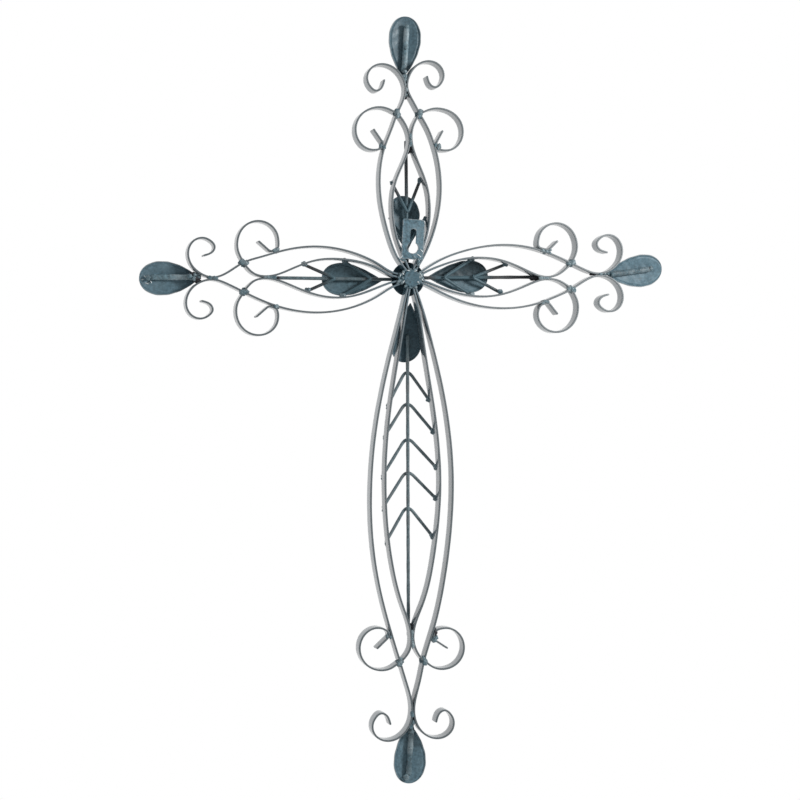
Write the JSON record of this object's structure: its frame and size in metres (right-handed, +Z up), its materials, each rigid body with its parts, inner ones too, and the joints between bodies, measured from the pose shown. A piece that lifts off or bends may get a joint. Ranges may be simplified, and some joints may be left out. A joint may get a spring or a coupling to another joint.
{
  "type": "wrought iron cross",
  "caption": "Decorative wall cross of bowed flat iron strips with scrolls, dished leaves, rods and a keyhole hanger plate.",
  "frame": {"origin": "back face of the hanger plate, above the keyhole, where the cross hangs against the wall", "axes": "+Z up the cross, +Y out of its back towards the wall, -Y its front"},
  "size_m": [0.4635, 0.0232, 0.6605],
  "materials": {
    "strip_paint": "satin slate blue paint",
    "sheet_paint": "satin slate blue paint",
    "rod_paint": "satin dark slate paint"
  },
  "bodies": {
    "root": {"hanger_plate": "sheet_paint", "hub_back_disc": "sheet_paint", "hub_front_boss": "sheet_paint", "top_outer_strip_left": "strip_paint", "top_outer_strip_right": "strip_paint", "top_inner_strip_left": "strip_paint", "top_inner_strip_right": "strip_paint", "top_scroll_left": "strip_paint", "top_scroll_right": "strip_paint", "top_tip_leaf": "sheet_paint", "top_tip_rib": "rod_paint", "top_inner_leaf": "sheet_paint", "top_stem": "rod_paint", "top_inner_twig": "rod_paint", "top_outer_twig": "rod_paint", "right_outer_strip_upper": "strip_paint", "right_outer_strip_lower": "strip_paint", "right_inner_strip_upper": "strip_paint", "right_inner_strip_lower": "strip_paint", "right_scroll_upper": "strip_paint", "right_scroll_lower": "strip_paint", "right_tip_leaf": "sheet_paint", "right_tip_rib": "rod_paint", "right_inner_leaf": "sheet_paint", "right_stem": "rod_paint", "right_inner_twig": "rod_paint", "right_outer_twig": "rod_paint", "left_outer_strip_upper": "strip_paint", "left_outer_strip_lower": "strip_paint", "left_inner_strip_upper": "strip_paint", "left_inner_strip_lower": "strip_paint", "left_scroll_upper": "strip_paint", "left_scroll_lower": "strip_paint", "left_tip_leaf": "sheet_paint", "left_tip_rib": "rod_paint", "left_inner_leaf": "sheet_paint", "left_stem": "rod_paint", "left_inner_twig": "rod_paint", "left_outer_twig": "rod_paint", "bottom_outer_strip_left": "strip_paint", "bottom_outer_strip_right": "strip_paint", "bottom_inner_strip_left": "strip_paint", "bottom_inner_strip_right": "strip_paint", "bottom_scroll_left": "strip_paint", "bottom_scroll_right": "strip_paint", "bottom_tip_leaf": "sheet_paint", "bottom_tip_rib": "rod_paint", "bottom_inner_leaf": "sheet_paint", "bottom_stem": "rod_paint", "bottom_chevron_1": "rod_paint", "bottom_chevron_2": "rod_paint", "bottom_chevron_3": "rod_paint", "bottom_chevron_4": "rod_paint", "bottom_chevron_5": "rod_paint"}
  },
  "joints": []
}
